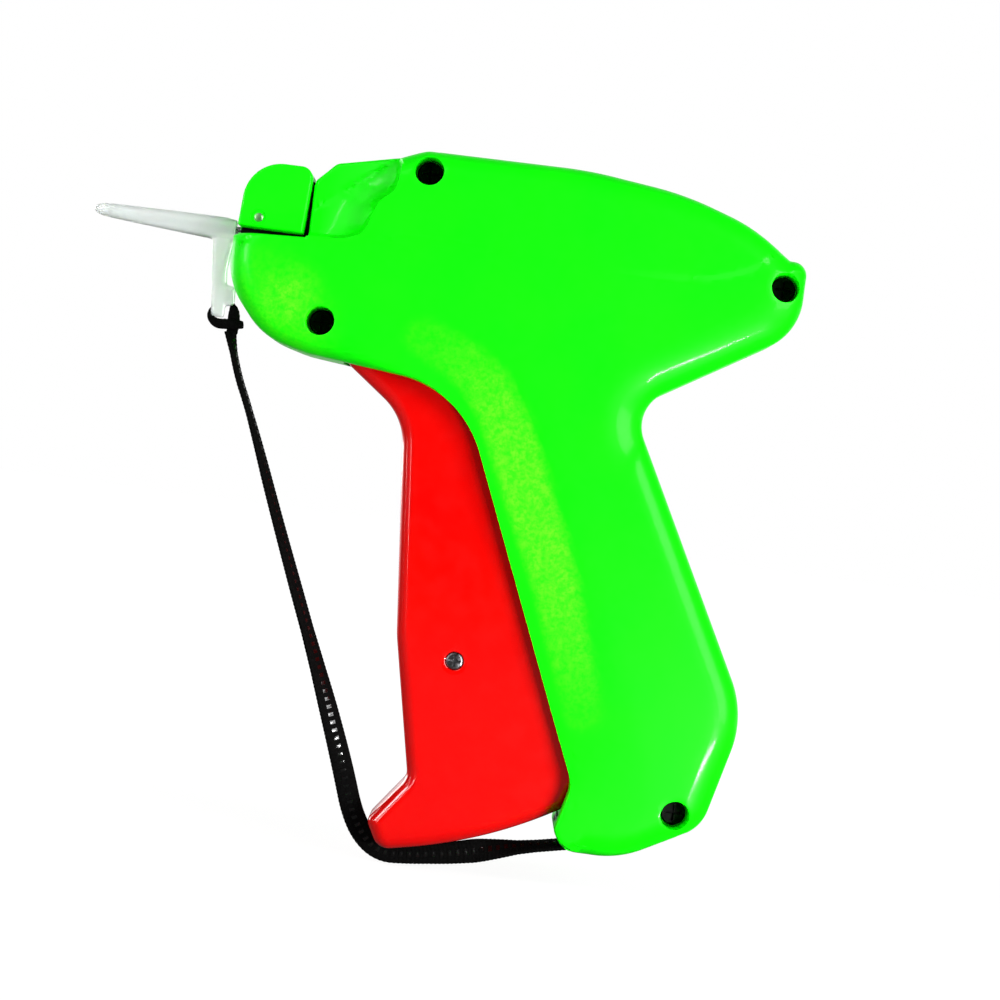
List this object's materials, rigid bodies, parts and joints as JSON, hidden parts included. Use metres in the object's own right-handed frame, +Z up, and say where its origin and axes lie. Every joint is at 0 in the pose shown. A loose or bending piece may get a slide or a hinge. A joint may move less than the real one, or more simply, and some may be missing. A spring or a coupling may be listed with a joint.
{
  "type": "garment tag attacher",
  "caption": "Hand tool that pushes plastic tag fasteners through cloth: pistol-shaped split casing, squeeze trigger, slotted hollow needle with cap, strap.",
  "frame": {"origin": "on the needle's axis, at the front of the nose, on the casing's split plane", "axes": "-X along the needle towards its tip, +Z up, the left side of the casing faces -Y"},
  "size_m": [0.1585, 0.03, 0.1569],
  "materials": {
    "green_abs": "fine spark-eroded grain, satin",
    "red_abs": "glossy",
    "zinc_steel": "zinc plated",
    "dark_steel": "dark nickel",
    "rivet_metal": "dull",
    "needle_steel": "polished",
    "white_nylon": "satin",
    "milky_cap": "translucent, milky",
    "black_webbing": "woven"
  },
  "bodies": {
    "root": {"left_shell": "green_abs", "right_shell": "green_abs", "case_screws": "zinc_steel", "nose_block": "green_abs", "nose_block_pin": "rivet_metal", "needle": "needle_steel", "needle_hub": "white_nylon", "cutter_blade": "needle_steel", "feed_wheel_shaft": "zinc_steel", "stop_leaf": "zinc_steel", "trigger_pivot_pin": "zinc_steel", "drive_lever_pin": "zinc_steel", "strap_anchor_pin": "zinc_steel", "strap": "black_webbing"},
    "trigger": {"trigger": "red_abs", "trigger_screw": "dark_steel", "feed_pawl": "zinc_steel"},
    "drive_link": {"drive_link": "zinc_steel"},
    "drive_lever": {"drive_lever": "zinc_steel", "link_pin": "zinc_steel", "return_spring": "zinc_steel"},
    "carriage": {"carriage": "white_nylon", "carriage_pin": "zinc_steel", "push_rod": "needle_steel"},
    "feed_wheel": {"feed_wheel": "white_nylon"},
    "needle_cap": {"needle_cap": "milky_cap", "strap_knot": "black_webbing"},
    "needle_lock_knob": {"needle_lock_knob": "green_abs"}
  },
  "joints": [
    {"name": "trigger_pivot", "type": "hinge", "parent": "root", "child": "trigger", "pos_m": [0.034, 0, -0.0186], "axis": [0, -1, 0], "range_deg": [0, 13], "stiffness_Nm_per_rad": 2.5, "springref_deg": -6.88},
    {"name": "link_pivot", "type": "hinge", "parent": "trigger", "child": "drive_link", "pos_m": [0.05966, 0, -0.0882], "axis": [0, -1, 0], "range_deg": [-13.1, 0.1]},
    {"name": "drive_lever_pivot", "type": "hinge", "parent": "root", "child": "drive_lever", "pos_m": [0.0878, 0, -0.0538], "axis": [0, -1, 0], "range_deg": [0, 36.98], "deforming": ["return_spring"]},
    {"name": "carriage_slide", "type": "slide", "parent": "root", "child": "carriage", "axis": [-1, 0, 0], "range_m": [0, 0.0361]},
    {"name": "feed_wheel_turn", "type": "hinge", "parent": "root", "child": "feed_wheel", "pos_m": [0.02105, 0, -0.0072], "axis": [0, -1, 0], "range_deg": [-30.1, 0.1]},
    {"name": "needle_cap_slide", "type": "slide", "parent": "root", "child": "needle_cap", "axis": [-1, 0, 0], "range_m": [0, 0.035]},
    {"name": "needle_lock_turn", "type": "hinge", "parent": "root", "child": "needle_lock_knob", "pos_m": [0.007, 0, -0.0096], "axis": [0, 1, 0], "range_deg": [0, 90]}
  ],
  "couplings": [
    {"joint": "link_pivot", "follows": "trigger_pivot", "ratio": -1},
    {"joint": "drive_lever_pivot", "follows": "trigger_pivot", "ratio": 2.8407},
    {"joint": "carriage_slide", "follows": "trigger_pivot", "m_per_rad": 0.15867},
    {"joint": "feed_wheel_turn", "follows": "trigger_pivot", "ratio": -2.3077}
  ]
}
